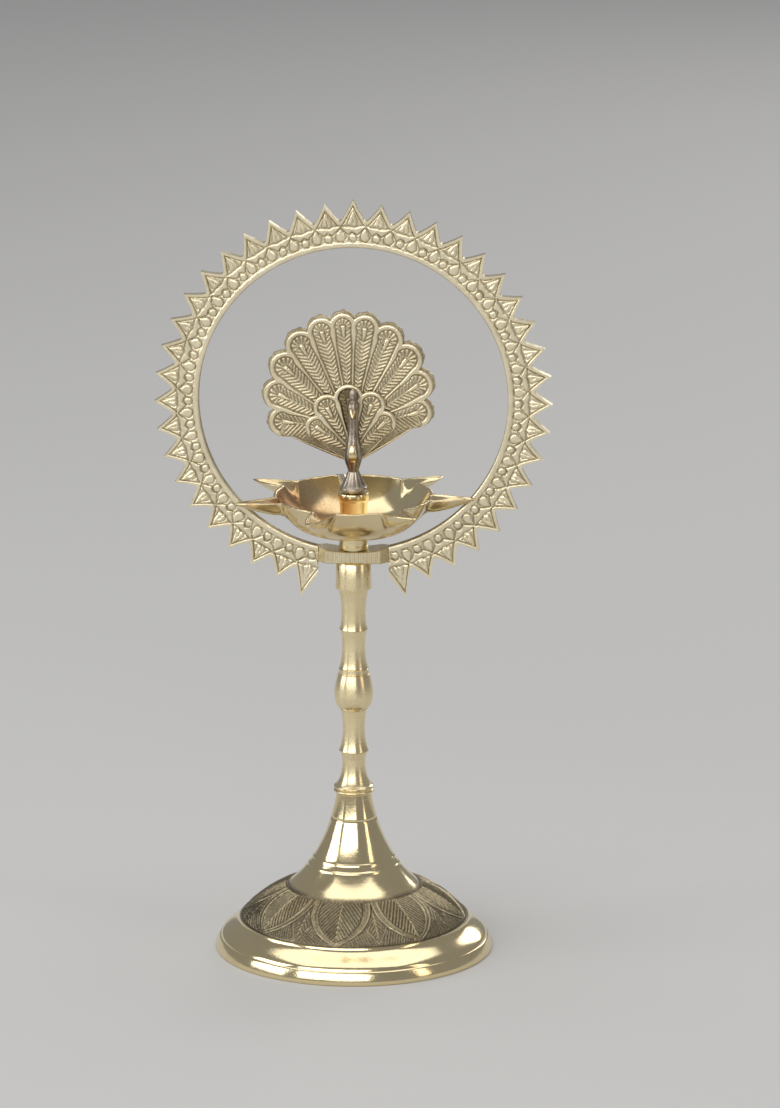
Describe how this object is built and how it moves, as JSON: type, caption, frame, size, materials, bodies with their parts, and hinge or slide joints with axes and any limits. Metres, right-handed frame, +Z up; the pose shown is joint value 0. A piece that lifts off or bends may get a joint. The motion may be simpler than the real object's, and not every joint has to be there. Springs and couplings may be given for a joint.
{
  "type": "standing oil lamp",
  "caption": "Turned brass oil lamp on a hollow foot, with an open dish with wick spouts, a cast sun-ray ring behind it and a peacock finial.",
  "frame": {"origin": "centre of the plane that the foot rests on", "axes": "+Z up along the stem, -Y towards the front, where the peacock faces, +X to its left as it looks out"},
  "size_m": [0.1288, 0.091, 0.25],
  "materials": {
    "polished_brass": "turned and polished, fine lathe lines",
    "satin_brass": "satin casting with dark patina in its grooves",
    "tarnished_brass": "dull casting, greyed by handling",
    "plain_brass": "as machined"
  },
  "bodies": {
    "stand": {"foot_shell": "polished_brass", "foot_washer": "plain_brass", "foot_nut": "plain_brass", "lower_baluster": "polished_brass", "mid_baluster": "polished_brass", "knop": "polished_brass", "upper_baluster": "polished_brass", "top_baluster": "polished_brass", "head_socket": "polished_brass", "centre_stud": "plain_brass", "dish_neck": "polished_brass", "oil_dish": "polished_brass", "dish_nut": "polished_brass"},
    "halo": {"halo_ring": "satin_brass"},
    "finial_screw": {"finial_stud": "plain_brass"},
    "peacock": {"peacock_body": "tarnished_brass", "covert_fan": "satin_brass", "tail_fan": "satin_brass", "tail_rivet": "plain_brass"}
  },
  "joints": [
    {"name": "halo_swivel", "type": "hinge", "parent": "stand", "child": "halo", "pos_m": [0, 0, 0.1325], "axis": [0, 0, 1], "range_deg": [0, 13]},
    {"name": "finial_rise", "type": "slide", "parent": "stand", "child": "finial_screw", "axis": [0, 0, 1], "range_m": [0, 0.004]},
    {"name": "finial_turn", "type": "hinge", "parent": "finial_screw", "child": "peacock", "pos_m": [0, 0, 0.1545], "axis": [0, 0, 1], "range_deg": [0, 1440]}
  ],
  "couplings": [
    {"joint": "finial_rise", "follows": "finial_turn", "m_per_rad": 0.00015915}
  ]
}
